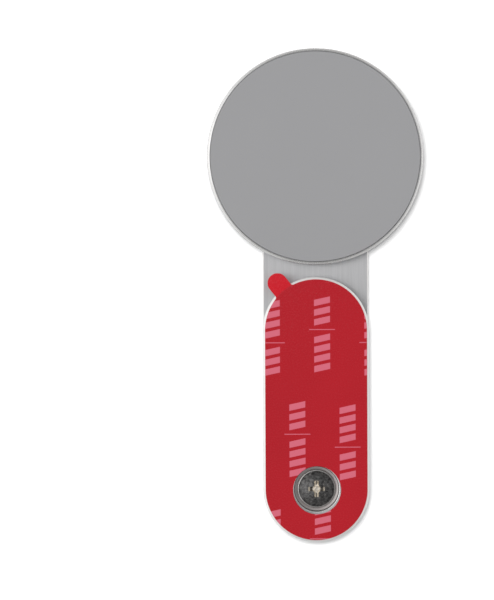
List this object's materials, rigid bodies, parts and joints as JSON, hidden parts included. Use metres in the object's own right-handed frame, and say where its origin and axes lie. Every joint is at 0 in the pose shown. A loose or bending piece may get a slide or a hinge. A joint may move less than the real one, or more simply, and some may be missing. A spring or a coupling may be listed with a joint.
{
  "type": "magnetic phone holder",
  "caption": "Round magnetic phone disc on a flat metal arm that swings about a friction screw in an adhesive base plate, for the back of a screen.",
  "frame": {"origin": "middle of the folded holder's length and width, on the back face of the arm", "axes": "+Y from the pivot to the disc, +Z out of the phone face and the adhesive face, +X to the right seen from the front"},
  "size_m": [0.057, 0.13, 0.0071],
  "materials": {
    "brushed_aluminium": "brushed along the arm and clear anodised, with bright cut bevels",
    "grey_silicone": "smooth matte",
    "foam_tape": "grey acrylic foam, adhesive on both sides",
    "red_film": "translucent red polyester film with a pale print",
    "dark_nickel": "black nickel plated steel",
    "bright_steel": "zinc plated steel",
    "magnet_nickel": "nickel plated sintered magnet",
    "glide_plastic": "natural acetal sheet",
    "carrier_plastic": "moulded black plastic",
    "clear_film": "double-sided adhesive film"
  },
  "bodies": {
    "base": {"base_plate": "brushed_aluminium", "adhesive_pad": "foam_tape", "release_liner": "red_film"},
    "arm": {"arm_plate": "brushed_aluminium", "pivot_post": "bright_steel", "glide_washer": "glide_plastic", "spring_washer": "bright_steel", "retaining_washer": "bright_steel", "pivot_screw": "dark_nickel", "disc_housing": "brushed_aluminium", "housing_screws": "dark_nickel", "yoke_ring": "bright_steel", "magnet_carrier": "carrier_plastic", "magnet_01": "magnet_nickel", "magnet_02": "magnet_nickel", "magnet_03": "magnet_nickel", "magnet_04": "magnet_nickel", "magnet_05": "magnet_nickel", "magnet_06": "magnet_nickel", "magnet_07": "magnet_nickel", "magnet_08": "magnet_nickel", "magnet_09": "magnet_nickel", "magnet_10": "magnet_nickel", "magnet_11": "magnet_nickel", "magnet_12": "magnet_nickel", "magnet_13": "magnet_nickel", "magnet_14": "magnet_nickel", "magnet_15": "magnet_nickel", "magnet_16": "magnet_nickel", "pad_film": "clear_film", "face_pad": "grey_silicone"}
  },
  "joints": [
    {"name": "arm_swing", "type": "hinge", "parent": "base", "child": "arm", "pos_m": [0, -0.051, 0.0035], "axis": [0, 0, 1], "continuous": true}
  ]
}
